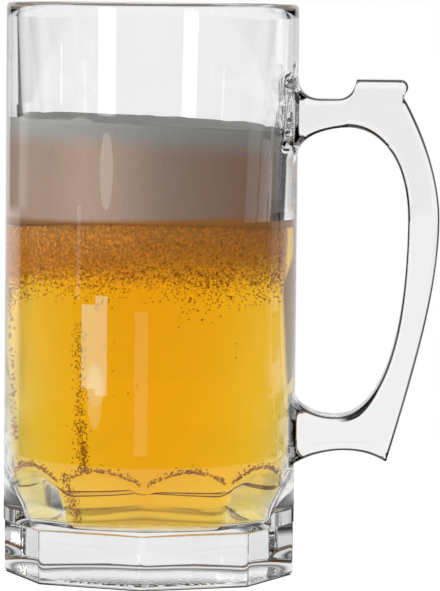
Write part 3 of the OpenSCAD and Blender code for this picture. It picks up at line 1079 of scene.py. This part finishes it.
def painted_contact_shadow(tree, place, flat):
    """Painted contact shadow: 1 on the floor close round the foot's eight flats, a little towards the camera,
    and 0 elsewhere.
    """
    moved = vector_maths(tree, "ADD", place, CONTACT_SHADOW_SHIFT)
    x, y, _ = axes(tree, moved)
    fold = maths(tree, "PINGPONG", maths(tree, "ARCTAN2", y, x), PANEL_TURN / 2)
    share = maths(tree, "COSINE", maths(tree, "SUBTRACT", PANEL_TURN / 2, fold))
    reach = maths(tree, "MULTIPLY", vector_maths(tree, "LENGTH", moved), share)
    inner, outer = [[flat + edge for edge in edges] for edges in (CONTACT_SHADOW_INNER, CONTACT_SHADOW_OUTER)]
    return maths(tree, "MULTIPLY", ramp(tree, reach, *inner), ramp(tree, reach, *outer, 1, 0))


def floor_material(flat):
    """Pale floor: white to the camera and through glass, with a soft shadow and a painted contact shadow
    line.
    """
    made, tree, out = new_material("pale_floor")
    place = coordinates(tree)
    camera = rays(tree, "Camera")
    grain = node(tree, "ShaderNodeTexNoise", Vector=place, Scale=40.0, Detail=3.0).outputs["Fac"]
    # Painted shadow: a dark line close round the foot, on the matt floor and in what the camera sees
    contact = painted_contact_shadow(tree, place, flat)
    shade = mix_colours(tree, grain, (0.86, 0.86, 0.86), (0.9, 0.9, 0.9))
    matt = node(tree, "ShaderNodeBsdfDiffuse", Color=mix_colours(tree, contact, shade, NEARLY_BLACK))
    line = maths(tree, "MULTIPLY", contact, camera)
    tone = mix_colours(tree, line, floor_glow_and_painted_shade(tree, place), NEARLY_BLACK)
    bright = ramp(tree, camera, 0, 1, 0.95, 1.36, "LINEAR")
    glow = node(tree, "ShaderNodeEmission", Color=tone, Strength=bright)
    share = maths(tree, "MULTIPLY_ADD", camera, -0.3, rays(tree, "Camera", "Glossy", "Transmission"))
    plug(tree, out["Surface"], mix_shaders(tree, share, matt.outputs["BSDF"], glow.outputs["Emission"]))
    return made


def studio_walls(tree):
    """Pale walls with dark stretches in five tiers, under a roof with one dark band."""
    x, y, z = axes(tree, coordinates(tree, "Generated"))
    turn = maths(tree, "DIVIDE", maths(tree, "ARCTAN2", x, y), 2 * math.pi)
    whole = maths(tree, "WRAP", turn, 0, 1)
    tilt = maths(tree, "ARCSINE", z)
    walls = grey_ramp(tree, whole, DEEP_WALLS, 360)
    for tier, low_edge in WALL_TIERS:
        above = ramp(tree, tilt, math.radians(low_edge), math.radians(low_edge + TIER_BLEND), kind="LINEAR")
        walls = mix_colours(tree, above, walls, grey_ramp(tree, whole, tier, 360))
    height = ramp(tree, tilt, -math.pi / 2, math.pi / 2, kind="LINEAR")
    return mix_colours(tree, 1, walls, grey_ramp(tree, height, ROOF, 180), "MULTIPLY")


def studio_world():
    """White background for the camera, a studio of walls for the glass, soft light for the rest."""
    world = bpy.data.worlds.new("studio")
    world.use_nodes = True
    tree = world.node_tree
    tree.nodes.clear()
    out = tree.nodes.new("ShaderNodeOutputWorld")
    shades = ((0.50, (*WHITE, 1)), (1.0, studio_walls(tree)), (1.0, (*WHITE, 1)))
    soft, studio, white = [node(tree, "ShaderNodeBackground", Strength=strength, Color=shade).outputs[0]
                           for strength, shade in shades]
    lit = mix_shaders(tree, rays(tree, "Camera", "Glossy", "Transmission"), soft, studio)
    plug(tree, out.inputs["Surface"], mix_shaders(tree, rays(tree, "Camera"), lit, white))
    return world


def soft_light(name, distance, near_turn, far_turn, low, high, bright, tint=WHITE, shape="RECTANGLE"):
    """An upright softbox in front of the mug, between two turns in degrees from straight ahead."""
    turn = math.radians((near_turn + far_turn) / 2)
    data = bpy.data.lights.new(name, "AREA")
    data.shape = shape
    data.color = tint
    data.size = 2 * distance * math.sin(math.radians(abs(far_turn - near_turn) / 2))
    data.size_y = high - low
    data.energy = math.pi * bright * data.size * data.size_y * (math.pi / 4 if shape == "ELLIPSE" else 1)
    lamp = bpy.data.objects.new(name, data)
    lamp.location = (distance * math.sin(turn), -distance * math.cos(turn), (low + high) / 2)
    towards = -lamp.location
    towards.z = 0
    lamp.rotation_euler = towards.to_track_quat("-Z", "Y").to_euler()
    lamp.visible_camera = False
    bpy.context.scene.collection.objects.link(lamp)
    return lamp


def studio_lamps():
    """Softboxes that the wall reflects, and a fill that only lights what is matt."""
    soft_light("left_softbox", 1.2, -25.5, -39.5, 0.121, 0.40, 6.0)
    soft_light("left_softbox_end", 1.2, -27, -37.5, 0.066, 0.112, 2.2, shape="ELLIPSE")
    panels = [soft_light("low_panel_near", 0.45, -29.5, -39, 0.0262, 0.068, 3.9, COOL_LIGHT),
              soft_light("low_panel_tail", 0.45, -33, -45, 0.0124, 0.038, 1.6, COOL_LIGHT, "ELLIPSE"),
              soft_light("low_panel_far", 0.45, -39, -50, 0.0290, 0.0640, 4.2, COOL_LIGHT),
              soft_light("low_panel_end", 0.45, -31, -46, 0.0215, 0.0400, 1.5, COOL_LIGHT, "ELLIPSE"),
              soft_light("faint_strip", 0.45, 1, -9, 0.002, 0.062, 0.8)]
    soft_light("thin_strip", 0.45, -51, -54.5, 0.066, 0.105, 1.2)
    soft_light("upper_strip", 0.45, -68.5, -70.3, 0.146, 0.172, 3.0)
    fill = soft_light("side_fill", 1.2, -60, -95, 0.1, 0.7, 6.0)
    fill.visible_glossy = False
    for lamp in (fill, *panels):
        lamp.visible_transmission = False


def photo_camera(stage):
    """The camera at the photograph's angle."""
    away = stage.distance
    place = Vector((away * math.sin(stage.turn), -away * math.cos(stage.turn), stage.camera_z))
    aim = Vector((stage.aim_x, 0, stage.aim_z))
    data = bpy.data.cameras.new("photo_camera")
    data.sensor_fit = "VERTICAL"
    data.sensor_height = 36
    data.lens = data.sensor_height * (aim - place).length / stage.picture_height
    camera = bpy.data.objects.new("photo_camera", data)
    look = (aim - place).to_track_quat("-Z", "Y").to_matrix().to_4x4()
    camera.matrix_world = Matrix.Translation(place) @ look @ Matrix.Rotation(stage.roll, 4, "Z")
    return camera


# Operators


def dress(piece, material, slot, *nodes):
    """Gives a piece its material and its body, and hides the nodes that it stands for. The slot is not used.
    """
    piece.data.materials.clear()
    piece.data.materials.append(material)
    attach(piece, "root")
    if nodes:
        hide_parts(*nodes)


class MUG_OT_stage(bpy.types.Operator):
    """Floor, studio light and the camera at the photograph's angle"""
    bl_idname = "mug.stage"
    bl_label = "Stage"

    def execute(self, context):
        scene, stage = context.scene, context.scene.mug_stage
        rim = [(stage.floor_radius * math.cos(a), stage.floor_radius * math.sin(a), 0)
               for a in np.linspace(0, 2 * math.pi, 96, endpoint=False)]
        floor = new_mesh("pale_floor", rim, [tuple(range(len(rim)))])
        floor.data.materials.append(floor_material(foot_flat(scene.mug_glass)))
        scene.world = studio_world()
        studio_lamps()
        scene.camera = photo_camera(stage)
        scene.collection.objects.link(scene.camera)
        scene.view_settings.view_transform = "Standard"
        scene.cycles.use_denoising = True
        scene.cycles.max_bounces = 24
        scene.cycles.transmission_bounces = 24
        scene.cycles.glossy_bounces = 12
        scene.cycles.transparent_max_bounces = 32
        scene.cycles.caustics_reflective = False
        scene.cycles.caustics_refractive = False
        return {"FINISHED"}


class MUG_OT_glass(bpy.types.Operator):
    """Vessel and handle in one piece of clear glass"""
    bl_idname = "mug.glass"
    bl_label = "Glass"

    def execute(self, context):
        glass, handle = context.scene.mug_glass, context.scene.mug_handle
        wet_top = context.scene.mug_drink.beer_top
        piece = glass_mesh(glass, handle, wet_top)
        dress(piece, glass_material(glass), "clear_glass", "body", "handle")
        piece.data.materials.append(wet_glass_material())
        centres = np.array([face.center[:] for face in piece.data.polygons])
        away, z = np.hypot(centres[:, 0], centres[:, 1]), centres[:, 2]
        wet = (away < glass.radius - glass.neck_wall) & (z > glass.floor - glass.softness) & (z < wet_top)
        piece.data.polygons.foreach_set("material_index", wet.astype(np.int32))
        return {"FINISHED"}


class MUG_OT_beer(bpy.types.Operator):
    """Beer that fills the cavity and wets the glass"""
    bl_idname = "mug.beer"
    bl_label = "Beer"

    def execute(self, context):
        drink = context.scene.mug_drink
        piece = beer_mesh(context.scene.mug_glass, drink)
        dress(piece, beer_material(drink), "beer", "beer")
        return {"FINISHED"}


class MUG_OT_foam(bpy.types.Operator):
    """Head of foam with an uneven top that clings to the wall"""
    bl_idname = "mug.foam"
    bl_label = "Foam"

    def execute(self, context):
        drink = context.scene.mug_drink
        piece = foam_mesh(context.scene.mug_glass, drink)
        dress(piece, foam_material(drink), "foam", "foam")
        return {"FINISHED"}


class MUG_OT_bubbles(bpy.types.Operator):
    """Soaked froth under the head, and the bubbles that cling to the wall"""
    bl_idname = "mug.bubbles"
    bl_label = "Bubbles"

    def execute(self, context):
        glass, drink = context.scene.mug_glass, context.scene.mug_drink
        draw = random.Random(drink.seed + 1)
        low, high = drink.beer_top - FRINGE_DEPTH, drink.beer_top - FRINGE_TOP
        fringe = fringe_mesh(glass, low, high)
        dress(fringe, fringe_material(drink, low, high), "foam")
        cloud = bubble_cloud("fringe_bubbles", fringe_spots(glass, drink, draw))
        bubbles = bubble_material(drink)
        dress(cloud, bubbles, "foam")
        strings = bubble_cloud("wall_bubbles", string_spots(glass, draw) + arch_spots(glass, draw))
        dress(strings, bubbles, "foam")
        return {"FINISHED"}


class MUG_PT_panel(bpy.types.Panel):
    """Lists the mug's pieces"""
    bl_idname = "MUG_PT_panel"
    bl_label = "Beer mug"
    bl_space_type = "VIEW_3D"
    bl_region_type = "UI"
    bl_category = "Mug"

    def draw(self, context):
        for operator in OPERATORS:
            self.layout.operator(operator.bl_idname)


OPERATORS = (MUG_OT_stage, MUG_OT_glass, MUG_OT_beer, MUG_OT_foam, MUG_OT_bubbles)
SETTINGS = {"mug_glass": MUG_PG_glass, "mug_handle": MUG_PG_handle, "mug_drink": MUG_PG_drink,
            "mug_stage": MUG_PG_stage}


def register():
    for kind in (*SETTINGS.values(), *OPERATORS, MUG_PT_panel):
        bpy.utils.register_class(kind)
    for name, kind in SETTINGS.items():
        setattr(bpy.types.Scene, name, PointerProperty(type=kind))


def unregister():
    for name in SETTINGS:
        delattr(bpy.types.Scene, name)
    for kind in reversed((*SETTINGS.values(), *OPERATORS, MUG_PT_panel)):
        bpy.utils.unregister_class(kind)


def main():
    register()
    bpy.ops.mug.stage()
    bpy.ops.mug.glass()
    bpy.ops.mug.beer()
    bpy.ops.mug.foam()
    bpy.ops.mug.bubbles()


if __name__ == "__main__":
    main()
